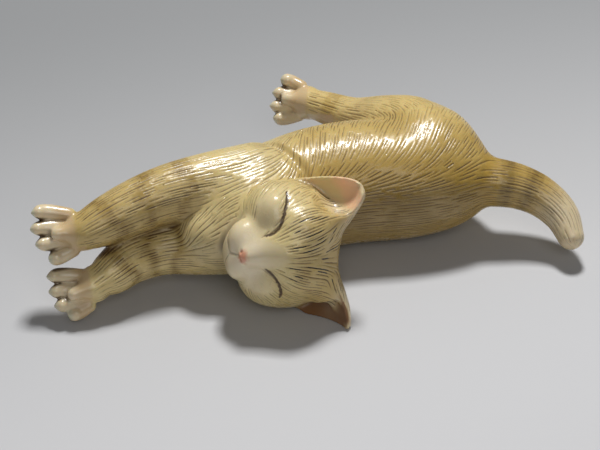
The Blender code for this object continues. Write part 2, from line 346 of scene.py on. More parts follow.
def plainHead(local):
    # The head without its slits, so that the slits can be laid on its skin
    mid = headForm["faceShift"]
    tip = mid + headForm["noseShift"]
    head = ellipsoid(local, *headForm["skull"])
    for side in (1, -1):
        cheek = ellipsoid(local, (-1.3, 1.2 * mid + side * 3.9, 1.9), (3.2, 3.4, 3.5))
        brow = ellipsoid(local, (3.2, mid + side * 2.5, 3.4), (2.4, 2.3, 1.9))
        head = joinSoft(joinSoft(head, cheek, 1.8), brow, 1.8)
        fold = [
            (3.9, mid + side * 2.3, 1.8, 2.5),
            (5.9, mid + side * 4.4, -0.1, 2.0),
            (8.0, mid + side * 6.9, -1.5, 0.75),
        ]
        head = joinSoft(head, tube(local, fold, 12), 1.8)
    ridge = [(5.5, mid - 3.0, -0.3, 1.3), (5.6, mid, -0.2, 1.3), (5.5, mid + 3.0, -0.3, 1.3)]
    head = joinSoft(head, tube(local, ridge, 3), 1.0)
    bridge = [(2.8, mid, 3.9, 2.5), (0.4, mid - 0.2, 5.0, 2.15), (-1.4, tip + 0.1, 6.4, 1.5)]
    head = joinSoft(head, tube(local, bridge, 12), 1.2)
    chin = ellipsoid(local, (-4.2, tip, 4.9), (1.6, 2.0, 1.7))
    rightPad = ellipsoid(local, (-3.0, tip + 1.5, 5.5), (2.0, 2.4, 2.0))
    leftPad = ellipsoid(local, (-3.1, tip - 1.4, 5.5), (1.9, 2.1, 1.9))
    for lump, fillet in ((chin, 0.8), (rightPad, 1.1), (leftPad, 1.1)):
        head = joinSoft(head, lump, fillet)
    for side in (1, -1):
        lid = ellipsoid(local, (0.1, mid * 0.6 + side * 3.9, 4.3), (1.8, 2.5, 1.8))
        head = joinSoft(head, lid, 0.6)
    for scoop in ("rightScoop", "leftScoop"):
        head = cutSoft(head, ellipsoid(local, *headForm[scoop]), 0.5)
    nose = ellipsoid(local, (-1.8, tip, 7.5), (0.6, 0.9, 0.6))
    return joinSoft(head, nose, 0.3)


def layOnFace(rows, radius):
    # Points given as (crown, right) are dropped on the skin of the face; both ends of the line taper
    spots = np.array([(up, right, 11.0) for up, right in rows])
    for turn in range(60):
        spots[:, 2] -= 0.7 * np.clip(plainHead(spots), -1.0, 1.0)
    ends = np.clip(np.minimum(np.arange(len(rows)), np.arange(len(rows))[::-1]) + 0.45, 0, 1)
    return np.column_stack([spots, radius * ends])


def headField(points):
    far = np.full(len(points), farAway)
    near = ((points - headMiddle) ** 2).sum(1) < 16.0**2
    local = toHead(points[near])
    tip = headForm["faceShift"] + headForm["noseShift"]
    head = plainHead(local)
    for ear, side in (("rightEar", -1), ("leftEar", 1)):
        head = joinSoft(head, earField(local, headForm[ear], side), 0.9)
    for cut in faceCuts:
        head = cutSoft(head, tube(local, cut, 3), 0.15)
    for side in (1, -1):
        nostril = ellipsoid(local, (-2.1, tip + side * 0.55, 7.9), (0.2, 0.26, 0.35))
        head = cutSoft(head, nostril, 0.15)
    far[near] = head
    return far


def cutFaceLines():
    middle = headForm["faceShift"] + headForm["noseShift"]
    cuts = [layOnFace(headForm[name], headForm["eyeLine"]) for name in ("rightEye", "leftEye")]
    cuts.append(layOnFace([(up, middle) for up in (-2.3, -2.9, -3.6, -4.0)], headForm["lipLine"]))
    for side in (1, -1):
        lip = [(-3.9, 0.1), (-4.4, 0.9), (-4.75, 1.9), (-4.6, 2.9), (-4.0, 3.7), (-3.2, 4.2)]
        cuts.append(layOnFace([(up, middle + side * right) for up, right in lip], headForm["lipLine"]))
    return cuts


faceCuts = cutFaceLines()


def cordChannel(points):
    half = catForm["cordHoleSpacing"] / 2
    x, y = catForm["cordPlace"]
    stations = []
    for turn in np.linspace(-0.12 * math.pi, 1.12 * math.pi, 9):
        lift = catForm["restPlane"] + math.sin(turn) * catForm["cordChannelDepth"]
        stations.append((x + math.cos(turn) * half, y, lift, catForm["cordHoleRadius"]))
    return tube(points, stations, 2)


# The limbs in the order of joining, with their fillets
limbFillets = {"rightForeleg": 1.0, "leftForeleg": 1.0, "rightHindleg": 1.3, "leftHindleg": 1.3, "tail": 0.8}


def catField(points):
    body = tube(points, catForm["torso"])
    body = joinSoft(body, ellipsoid(points, *catForm["haunch"]), 2.0)
    for limb, fillet in limbFillets.items():
        body = joinSoft(body, tube(points, catForm[limb]), fillet)
    body = joinSoft(body, tube(points, neckStations, 3), 2.0)
    body = joinSoft(body, headField(points), 0.9)
    for name in pawNames:
        body = joinSoft(body, pawField(points, name), 0.5)
    body = cutSoft(body, tube(points, catForm["shoulderCrease"]), 0.7)
    body = cutSoft(body, cordChannel(points), 0.3)
    return cutSoft(body, points[:, 2] - catForm["restPlane"], 0.15)


cubeCorners = [(i, j, k) for i in (0, 1) for j in (0, 1) for k in (0, 1)]


class SculptGrid:
    # The field sampled on a grid, finely only in the blocks that the surface crosses

    def __init__(self, field, low, high, step, block):
        self.low, self.step = np.array(low, float), step
        blocks = np.ceil((np.array(high) - self.low) / (step * block)).astype(int)
        self.count = blocks * block
        corner = np.stack(np.meshgrid(*[np.arange(n) for n in blocks], indexing="ij"), -1).reshape(-1, 3)
        middle = self.low + (corner * block + (block - 1) / 2) * step
        rough = field(middle)
        self.values = rough.reshape(blocks)
        for axis in range(3):
            self.values = np.repeat(self.values, block, axis)
        # Half of a block's diagonal, and some slack because the joined field isn't a true distance
        halfDiagonal = block * step * 0.87
        slack = 0.45
        close = np.abs(rough) < halfDiagonal + slack
        cell = np.stack(np.meshgrid(*[np.arange(block)] * 3, indexing="ij"), -1).reshape(-1, 3)
        index = (corner[close][:, None, :] * block + cell[None]).reshape(-1, 3)
        fine = np.empty(len(index))
        batch = 200000
        for start in range(0, len(index), batch):
            part = index[start : start + batch]
            fine[start : start + batch] = field(self.low + part * step)
        self.values[index[:, 0], index[:, 1], index[:, 2]] = fine

    def at(self, points):
        place = (points - self.low) / self.step
        base = np.clip(np.floor(place).astype(int), 0, self.count - 2)
        share = np.clip(place - base, 0, 1)
        total = np.zeros(len(points))
        for corner in cubeCorners:
            x, y, z = np.abs(1 - np.array(corner) - share).T
            total += x * y * z * self.values[tuple((base + corner).T)]
        return total

    def slope(self, points):
        ways = np.eye(3) * self.step
        slope = np.stack([self.at(points + way) - self.at(points - way) for way in ways], axis=1)
        return slope / np.maximum(np.linalg.norm(slope, axis=1), 1e-9)[:, None]

    def nearest(self, points):
        # The number of the skin point in or beside the cell that each point is in
        place = np.floor((points - self.low) / self.step).astype(int)
        return self.number[tuple(np.clip(place, 0, np.array(self.number.shape) - 1).T)]

    def skin(self):
        # Surface nets: one point in every cell that the surface crosses, one face across every crossed edge
        inside = self.values < 0
        cells = self.count - 1
        def shifted(array, corner):
            return array[tuple(slice(corner[axis], corner[axis] + cells[axis]) for axis in range(3))]

        filled = sum(shifted(inside, corner).astype(np.int8) for corner in cubeCorners)
        active = (filled > 0) & (filled < 8)
        cell = np.argwhere(active)
        number = np.full(tuple(cells), -1)
        number[active] = np.arange(len(cell))
        value = {corner: self.values[tuple((cell + corner).T)] for corner in cubeCorners}
        total = np.zeros((len(cell), 3))
        hits = np.zeros(len(cell))
        for axis in range(3):
            for corner in cubeCorners:
                if corner[axis]:
                    continue
                other = tuple(1 if a == axis else corner[a] for a in range(3))
                first, second = value[corner], value[other]
                cross = (first < 0) != (second < 0)
                t = np.where(cross, first / np.where(cross, first - second, 1.0), 0.0)
                spot = np.tile(np.array(corner, float), (len(cell), 1))
                spot[:, axis] += t
                total += spot * cross[:, None]
                hits += cross
        points = self.low + self.step * (cell + total / hits[:, None])
        self.number = number.copy()
        for turn in range(2):
            for axis in range(3):
                for way in (1, -1):
                    beside = np.roll(self.number, way, axis)
                    self.number = np.where(self.number < 0, beside, self.number)
        faces = []
        for axis in range(3):
            second, third = (axis + 1) % 3, (axis + 2) % 3
            start = [slice(1, cells[a]) for a in range(3)]
            start[axis] = slice(0, cells[axis])
            end = list(start)
            end[axis] = slice(1, cells[axis] + 1)
            near, far = inside[tuple(start)], inside[tuple(end)]
            for leaving, crossing in ((False, near & ~far), (True, ~near & far)):
                edge = np.argwhere(crossing)
                edge[:, second] += 1
                edge[:, third] += 1
                ring = []
                for back, side in ((1, 1), (0, 1), (0, 0), (1, 0)):
                    beside = edge.copy()
                    beside[:, second] -= back
                    beside[:, third] -= side
                    ring.append(number[tuple(beside.T)])
                quad = np.stack(ring, axis=1)
                faces.append(quad[:, ::-1] if leaving else quad)
        return points, np.vstack(faces)


def meshFrom(name, points, faces):
    mesh = bpy.data.meshes.new(name)
    mesh.vertices.add(len(points))
    mesh.vertices.foreach_set("co", points.astype(np.float32).ravel())
    mesh.loops.add(faces.size)
    mesh.loops.foreach_set("vertex_index", faces.astype(np.int32).ravel())
    mesh.polygons.add(len(faces))
    mesh.polygons.foreach_set("loop_start", np.arange(0, faces.size, faces.shape[1], dtype=np.int32))
    mesh.update(calc_edges=True)
    return mesh


grid = SculptGrid(catField, sculptGrid["low"], sculptGrid["high"], sculptGrid["step"], sculptGrid["block"])
say("sampled the carving's field")
skinPoints, skinFaces = grid.skin()
for turn in range(2):
    skinPoints -= grid.at(skinPoints)[:, None] * grid.slope(skinPoints)
say(f"drew the skin, {len(skinPoints)} points")


# Lengths in parts; smoothing and settling are numbers of rounds
furForm = {
    "seed": 11,
    "smoothing": 14,
    "settling": 24,
    "candidates": 40000,
    "spacing": 0.29,
    "pace": 0.25,
    "longest": 8.5,
    "shortest": 1.5,
    "cutWidth": 0.145,
    "cutDepth": 0.075,
    "triangles": 196000,
}

noseSpot = np.array([-1.8, headForm["faceShift"] + headForm["noseShift"], 7.6])


def followCurve(points, stations):
    # For each point: gap to the limb, way along it, way out from it, share of its length
    curve = curveThrough(stations, 5)
    gap = np.full(len(points), farAway)
    way = np.zeros((len(points), 3))
    outward = np.zeros((len(points), 3))
    share = np.zeros(len(points))
    runs = np.linalg.norm(np.diff(curve[:, :3], axis=0), axis=1)
    done = np.concatenate([[0], np.cumsum(runs)]) / runs.sum()
    for index in range(len(curve) - 1):
        start, end = curve[index], curve[index + 1]
        run = end[:3] - start[:3]
        offset = points - start[:3]
        t = np.clip(offset @ run / (run @ run), 0, 1)
        away = offset - t[:, None] * run
        size = np.linalg.norm(away, axis=1)
        here = size - (start[3] + t * (end[3] - start[3]))
        closer = here < gap
        gap[closer] = here[closer]
        way[closer] = run / runs[index]
        outward[closer] = (away / np.maximum(size, 1e-6)[:, None])[closer]
        share[closer] = (done[index] + t * (done[index + 1] - done[index]))[closer]
    return gap, way, outward, share


def earPlace(local, corners):
    # Place on an ear: share of its height, share across it, and height over its leaf towards the face
    foot, tip, height, halfWidth, upWay, acrossWay = earAxes(corners)
    frontWay = np.cross(upWay, acrossWay)
    frontWay = frontWay * np.sign(frontWay[2])
    offset = local - foot
    up = offset @ upWay / height
    taper = (1 - np.clip(up, -0.3, 0.98)) ** headForm["earRoundness"]
    across = (offset @ acrossWay) / (halfWidth * taper + 0.15)
    cup = headForm["earCup"] * np.minimum(taper, 1) * (across**2 - 0.75)
    return up, across, offset @ frontWay - cup, upWay


class CatPlaces:
    # Where on the cat each point lies, for the way of the fur and the colours

    def __init__(self, points):
        self.points = points
        self.local = toHead(points)
        self.limbs = {name: followCurve(points, catForm[name]) for name in limbFillets}
        self.torso = followCurve(points, catForm["torso"])
        self.head = plainHead(self.local)
        self.ears = {name: earPlace(self.local, headForm[name]) for name in ("rightEar", "leftEar")}
        self.spine = np.arccos(np.clip(-self.torso[2][:, 1], -1, 1))
        self.paw = np.zeros(len(points))
        self.toe = np.zeros(len(points))
        self.claw = np.zeros(len(points))
        self.slits = np.full(len(points), 9.0)
        for name in pawNames:
            centre, way, toes = pawForm[name]
            local = (points - centre) @ pawAxes(way).T
            close = np.abs(local).max(1) < 7.0
            across = np.abs(local[:, 1]) < 5.0
            wrist = pawForm["furLines"][name]
            self.paw = np.maximum(self.paw, close * across * rise(local[:, 0], wrist - 0.3, wrist + 0.2))
            self.toe = np.maximum(self.toe, close * across * rise(local[:, 0], 0.2, 1.6))
            for reach, shift in toes:
                tip = local - (reach - 0.1, shift, 0.1)
                self.claw = np.maximum(self.claw, close * rise(-np.linalg.norm(tip, axis=1), -0.85, -0.5))
        self.lips = np.full(len(points), 9.0)
        for cut in faceCuts[:2]:
            self.slits = np.minimum(self.slits, tube(self.local, cut, 3, 1.0))
        for cut in faceCuts[2:]:
            self.lips = np.minimum(self.lips, tube(self.local, cut, 3, 1.0))

    def earHollow(self):
        hollow = np.zeros(len(self.points))
        for up, across, lift, way in self.ears.values():
            inner = rise(lift, -0.2, 0.3) * rise(-lift, -2.2, -1.4)
            inner = inner * rise(up, -0.25, 0.05) * rise(-up, -0.97, -0.85)
            bare = rise(self.head, 0.05, 0.35)
            hollow = np.maximum(hollow, inner * bare * (np.abs(across) < 0.97))
        return hollow

    def nearEar(self):
        near = np.zeros(len(self.points))
        for up, across, lift, way in self.ears.values():
            around = (np.abs(lift) < 2.5) * (np.abs(across) < 1.3) * (up < 1.1)
            near = np.maximum(near, rise(up, -0.1, 0.35) * around)
        return near

    def muzzle(self):
        offset = (self.local - np.array([-3.4, noseSpot[1], 5.2])) / np.array([3.3, 4.3, 3.6])
        bridge = (self.local - np.array([0.4, noseSpot[1] + 0.6, 6.2])) / np.array([2.9, 1.7, 2.2])
        muzzle = rise(-np.linalg.norm(offset, axis=1), -1.3, -0.8)
        return np.maximum(muzzle, rise(-np.linalg.norm(bridge, axis=1), -1.3, -0.8))

    def lids(self, low=-1.2, high=-0.8):
        lids = np.zeros(len(self.points))
        for side in (1, -1):
            middle = np.array([-0.2, 0.6 * headForm["faceShift"] + side * 3.8, 4.6])
            offset = (self.local - middle) / np.array([1.8, 2.4, 2.1])
            lids = np.maximum(lids, rise(-np.linalg.norm(offset, axis=1), low, high))
        return lids

    def fur(self):
        fur = (1 - self.paw) * (1 - self.muzzle()) * (1 - self.earHollow()) * (1 - self.lids())
        fur = fur * rise(self.points[:, 2], 0.55, 0.75)
        return fur * rise(cordChannel(self.points), 0.1, 0.5)


def closeness(gap, fade=0.7):
    # How much a form counts for skin that lies this far off it
    return np.exp(-np.clip(gap + 1.2, 0, 9) / fade)


def combWays(places, normals, faces):
    # The way of the fur at each skin point, kept as a tensor so that opposite ways agree
    tensor = np.zeros((len(normals), 3, 3))

    def add(way, weight):
        flat = way - normals * (way * normals).sum(1)[:, None]
        flat = flat / np.maximum(np.linalg.norm(flat, axis=1), 1e-6)[:, None]
        tensor[:] += weight[:, None, None] * flat[:, :, None] * flat[:, None, :]

    for gap, way, outward, share in places.limbs.values():
        add(way, closeness(gap) * rise(share, 0.02, 0.3))
    gap, way, outward, share = places.torso
    around = np.array([0.0, 1.0, 0.0]) - outward * outward[:, 1:2] - way * way[:, 1:2]
    around = around / np.maximum(np.linalg.norm(around, axis=1), 1e-6)[:, None]
    lean = np.radians(70) * rise(places.spine, np.radians(12), np.radians(82))
    lean = lean - np.radians(30) * rise(places.spine, np.radians(110), np.radians(170))
    lean = lean * rise(places.points[:, 0], -5.0, 1.5)
    leaning = way * np.cos(lean)[:, None] + around * np.sin(lean)[:, None]
    add(leaning, closeness(gap))
    neckWay = np.array(catForm["neckEnd"][:3]) - np.array(neckStations[0][:3])
    neck = tube(places.points, neckStations, 3, 9.0)
    add(np.tile(neckWay, (len(normals), 1)), 0.4 * closeness(neck))
    headWeight = closeness(places.head, 0.5)
    add((places.local - noseSpot) @ headAxes, 1.6 * headWeight * (1 - places.nearEar()))
    for up, across, lift, way in places.ears.values():
        near = rise(up, -0.1, 0.35) * (np.abs(lift) < 2.5) * (np.abs(across) < 1.3)
        add(np.tile(way @ headAxes, (len(normals), 1)), 1.2 * near)
    tensor /= np.maximum(np.trace(tensor, axis1=1, axis2=2), 1e-9)[:, None, None]
    links = np.vstack([faces[:, [0, 1]], faces[:, [1, 2]], faces[:, [2, 3]], faces[:, [3, 0]]])
    count = np.bincount(links.ravel(), minlength=len(normals))
    flat = tensor.reshape(-1, 9)
    for turn in range(furForm["smoothing"]):
        total = np.zeros_like(flat)
        for column in (0, 1, 2, 4, 5, 8):
            total[:, column] = np.bincount(links[:, 0], flat[links[:, 1], column], len(normals))
            total[:, column] += np.bincount(links[:, 1], flat[links[:, 0], column], len(normals))
        for low, high in ((1, 3), (2, 6), (5, 7)):
            total[:, high] = total[:, low]
        flat = 0.5 * flat + 0.5 * total / np.maximum(count, 1)[:, None]
    tensor = flat.reshape(-1, 3, 3)
    # Multiplying by the tensor again and again turns any first way into its main one
    ways = np.einsum("nij,j->ni", tensor, np.array([0.62, 0.57, 0.54])) + 1e-6
    for turn in range(furForm["settling"]):
        ways = np.einsum("nij,nj->ni", tensor, ways)
        ways -= normals * (ways * normals).sum(1)[:, None]
        ways /= np.maximum(np.linalg.norm(ways, axis=1), 1e-12)[:, None]
    return ways


def traceStrokes(points, ways, fur):
    # Many strokes are traced over the skin at once, then kept one by one where none lies too near
    rng = np.random.default_rng(furForm["seed"])
    seeds = rng.choice(len(points), furForm["candidates"], p=fur / fur.sum())
    pace = furForm["pace"]
    reach = int(0.5 * furForm["longest"] / pace)
    trails = []
    for heading in (1, -1):
        spot = points[seeds].copy()
        aim = heading * ways[seeds]
        trail = [spot.copy()]
        for turn in range(reach):
            spot = spot + pace * aim
            normal = grid.slope(spot)
            spot = spot - grid.at(spot)[:, None] * normal
            fresh = ways[grid.nearest(spot)]
            fresh = fresh * np.where((fresh * aim).sum(1) < 0, -1, 1)[:, None]
            fresh = fresh - normal * (fresh * normal).sum(1)[:, None]
            aim = fresh / np.maximum(np.linalg.norm(fresh, axis=1), 1e-6)[:, None]
            trail.append(spot.copy())
        trails.append(np.array(trail))
    trails = np.concatenate([trails[1][:0:-1], trails[0]]).transpose(1, 0, 2)
    covered = fur[grid.nearest(trails.reshape(-1, 3))].reshape(trails.shape[:2]) > 0.5
    spacing = furForm["spacing"]
    lengths = rng.uniform(0.45, 1.0, len(trails)) * furForm["longest"]
    taken = {}
    kept = []
    cells = np.floor(trails / spacing).astype(int)
    beside = [(i, j, k) for i in (-1, 0, 1) for j in (-1, 0, 1) for k in (-1, 0, 1)]
    middle = reach
    for number in range(len(trails)):
        line = trails[number]
        cell = [tuple(row) for row in cells[number].tolist()]
        spread = int(0.5 * lengths[number] / pace)

        def free(index):
            if not covered[number, index]:
                return False
            i, j, k = cell[index]
            x, y, z = line[index]
            for di, dj, dk in beside:
                for px, py, pz in taken.get((i + di, j + dj, k + dk), ()):
                    if (x - px) ** 2 + (y - py) ** 2 + (z - pz) ** 2 < spacing**2:
                        return False
            return True

        if not free(middle):
            continue
        start = middle
        while start > middle - spread and free(start - 1):
            start -= 1
        end = middle
        while end < middle + spread and free(end + 1):
            end += 1
        if (end - start) * pace < furForm["shortest"]:
            continue
        for index in range(start, end + 1):
            taken.setdefault(cell[index], []).append(tuple(line[index]))
        kept.append(line[start : end + 1])
    return kept, rng


def fitToSolid(points):
    # Parts to metres, so that the carving fills the solid's own box
    return catLow + boxInset + (points - skinLow) * skinScale


skinPlaces = CatPlaces(skinPoints)
skinNormals = grid.slope(skinPoints)
skinFur = skinPlaces.fur() * rise(skinNormals[:, 2], -0.75, -0.4)
ways = combWays(skinPlaces, skinNormals, skinFaces)
say("combed the fur")
strokes, rng = traceStrokes(skinPoints, ways, skinFur)
say(f"laid {len(strokes)} strokes")

boxInset = 2e-5
skinLow, skinHigh = skinPoints.min(0), skinPoints.max(0)
skinScale = (catHigh - catLow - 2 * boxInset) / (skinHigh - skinLow)


class Value:
    # A node's output that takes part in Python sums; each sum adds a Math node
    def __init__(self, bench, socket):
        self.bench, self.socket = bench, socket

    def math(self, operation, other):
        return self.bench.node("ShaderNodeMath", {"operation": operation}, {0: self, 1: other})

    def __add__(self, other):
        return self.math("ADD", other)

    def __sub__(self, other):
        return self.math("SUBTRACT", other)

    def __rsub__(self, other):
        return self.math("MULTIPLY", -1.0) + other

    def __mul__(self, other):
        return self.math("MULTIPLY", other)

    __radd__ = __add__
    __rmul__ = __mul__

    def between(self, low, high):
        # Smoothly 0 below low and 1 above high
        values = {"Value": self, "From Min": low, "From Max": high}
        return self.bench.node("ShaderNodeMapRange", {"interpolation_type": "SMOOTHSTEP"}, values)


class Bench:
    # Adds nodes to one tree
    def __init__(self, tree):
        self.tree = tree

    def node(self, kind, settings=None, values=None, output=0):
        made = self.tree.nodes.new(kind)
        for name, setting in (settings or {}).items():
            setattr(made, name, setting)
        for name, value in (values or {}).items():
            self.feed(made.inputs[name], value)
        return Value(self, made.outputs[output]) if len(made.outputs) else made

    def feed(self, socket, value):
        if isinstance(value, Value):
            self.tree.links.new(value.socket, socket)
        else:
            socket.default_value = value

    def mix(self, share, first, second):
        # A colour mix; 6, 7 and 2 are the numbers of its colour sockets
        return self.node("ShaderNodeMix", {"data_type": "RGBA"}, {0: share, 6: first, 7: second}, 2)


def strokeLines(strokes):
    # One loose mesh of edges, with how deep the graver went and how much ink was rubbed in
    points = np.vstack(strokes)
    local = toHead(points)
    crown = rise(local[:, 0], 2.6, 4.2) * rise(-np.abs(local[:, 1] - 0.2), -5.0, -3.4)
    crown = crown * rise(local[:, 2], -1.5, 0.5) * rise(-plainHead(local), -0.3, -0.1)
    links = []
    depths = []
    inks = []
    start = 0
    for line in strokes:
        count = len(line)
        links += [(start + step, start + step + 1) for step in range(count - 1)]
        share = np.linspace(0, 1, count)
        taper = np.minimum(1, 0.25 + 5 * np.minimum(0.6 * share, 1 - share))
        depths.append(rng.uniform(0.55, 1.0) * taper)
        chosen = rng.random() < 0.5
        part = rng.uniform(0.2, 0.8)
        inks.append(chosen * rise(-np.abs(share - part), -0.32, -0.18) * crown[start : start + count])
        start += count
    mesh = bpy.data.meshes.new("strokeLines")
    mesh.from_pydata(fitToSolid(points).tolist(), links, [])
    for name, values in (("depth", depths), ("ink", inks)):
        layer = mesh.attributes.new(name, "FLOAT", "POINT")
        layer.data.foreach_set("value", np.concatenate(values).astype(np.float32))
    holder = bpy.data.objects.new("strokeLines", mesh)
    bpy.context.scene.collection.objects.link(holder)
    return holder


def engravingTree():
    # Presses every stroke into the skin as a fine V, and keeps its depth and its ink for the colours
    tree = bpy.data.node_groups.new("engraveFur", "GeometryNodeTree")
    sockets = {
        "Geometry": "Geometry",
        "Strokes": "Object",
        "Cut Width": "Float",
        "Cut Depth": "Float",
        "Finish": "Material",
    }
    for name, kind in sockets.items():
        tree.interface.new_socket(name, in_out="INPUT", socket_type="NodeSocket" + kind)
    tree.interface.new_socket("Geometry", in_out="OUTPUT", socket_type="NodeSocketGeometry")
    bench = Bench(tree)
    entry = tree.nodes.new("NodeGroupInput")
    given = {name: Value(bench, entry.outputs[name]) for name in sockets}
    lines = bench.node("GeometryNodeObjectInfo", None, {0: given["Strokes"]}, "Geometry")
    near = bench.node("GeometryNodeProximity", {"target_element": "EDGES"}, {0: lines}, "Distance")
    place = Value(bench, near.socket.node.outputs["Position"])
    closest = bench.node("GeometryNodeSampleNearest", {"domain": "POINT"}, {0: lines, 1: place})

    def onStroke(name):
        noted = bench.node("GeometryNodeInputNamedAttribute", {"data_type": "FLOAT"}, {"Name": name})
        settings = {"data_type": "FLOAT", "domain": "POINT"}
        return bench.node("GeometryNodeSampleIndex", settings, {0: lines, 1: noted, "Index": closest})

    settings = {"interpolation_type": "SMOOTHSTEP"}
    values = {"Value": near, "From Max": given["Cut Width"], "To Min": 1.0, "To Max": 0.0}
    cut = bench.node("ShaderNodeMapRange", settings, values)
    groove = cut * onStroke("depth")
    skin = given["Geometry"]
    for name, value in (("groove", groove), ("ink", cut * onStroke("ink"))):
        settings = {"data_type": "FLOAT", "domain": "POINT"}
        values = {"Geometry": skin, "Name": name, "Value": value}
        skin = bench.node("GeometryNodeStoreNamedAttribute", settings, values)
    normal = bench.node("GeometryNodeInputNormal")
    sunk = groove * given["Cut Depth"] * -1.0
    offset = bench.node("ShaderNodeVectorMath", {"operation": "SCALE"}, {0: normal, "Scale": sunk})
    skin = bench.node("GeometryNodeSetPosition", None, {"Geometry": skin, "Offset": offset})
    skin = bench.node("GeometryNodeRealizeInstances", None, {0: skin})
    skin = bench.node("GeometryNodeSetMaterial", None, {"Geometry": skin, "Material": given["Finish"]})
    bench.node("NodeGroupOutput", None, {0: skin})
    return tree


def setInput(modifier, name, value):
    for item in modifier.node_group.interface.items_tree:
        if item.item_type == "SOCKET" and item.in_out == "INPUT" and item.name == name:
            modifier[item.identifier] = value


def carveCat(ivory):
    mesh = meshFrom("cat_carving", fitToSolid(skinPoints), skinFaces)
    cat = bpy.data.objects.new("cat_carving", mesh)
    bpy.context.scene.collection.objects.link(cat)
    lines = strokeLines(strokes)
    finer = cat.modifiers.new("finer", "SUBSURF")
    finer.levels = finer.render_levels = 1
    engrave = cat.modifiers.new("engrave", "NODES")
    engrave.node_group = engravingTree()
    setInput(engrave, "Strokes", lines)
    setInput(engrave, "Cut Width", furForm["cutWidth"] / 1000)
    setInput(engrave, "Cut Depth", furForm["cutDepth"] / 1000)
    setInput(engrave, "Finish", ivory)
    fewer = cat.modifiers.new("fewer", "DECIMATE")
    trianglesPerFace = 8
    fewer.ratio = furForm["triangles"] / (len(skinFaces) * trianglesPerFace)
    bpy.context.view_layer.update()
    shown = cat.evaluated_get(bpy.context.evaluated_depsgraph_get())
    done = bpy.data.meshes.new_from_object(shown)
    done.name = "cat_carving"
    cat.modifiers.clear()
    cat.data = done
    for polygon in done.polygons:
        polygon.use_smooth = True
    bpy.data.objects.remove(lines, do_unlink=True)
    return cat


# Colours of the finish as they look on a screen, 0 to 255
ivoryForm = {
    "honey": (216, 190, 124),
    "straw": (224, 206, 150),
    "amber": (170, 137, 58),
    "umber": (114, 92, 42),
    "cream": (230, 214, 180),
    "milk": (242, 228, 202),
    "tan": (208, 180, 138),
    "pink": (253, 204, 168),
    "blush": (222, 140, 108),
    # the lower ear's pink inside, darkened as painted shade
    "shadedEarPink": (116, 64, 32),
    "claw": (208, 206, 178),
    # brown rubbed into the cuts, also used as painted shade in hollows
    "stainAndShade": (80, 48, 12),
    "ink": (26, 16, 9),
    "foreBands": (0.42, 0.64, 0.86),
    "tailBands": (0.14, 0.34, 0.52),
    "bandWidth": 0.075,
}


def colour(name):
    seen = np.array(ivoryForm[name]) / 255
    return np.where(seen < 0.04045, seen / 12.92, ((seen + 0.055) / 1.055) ** 2.4)


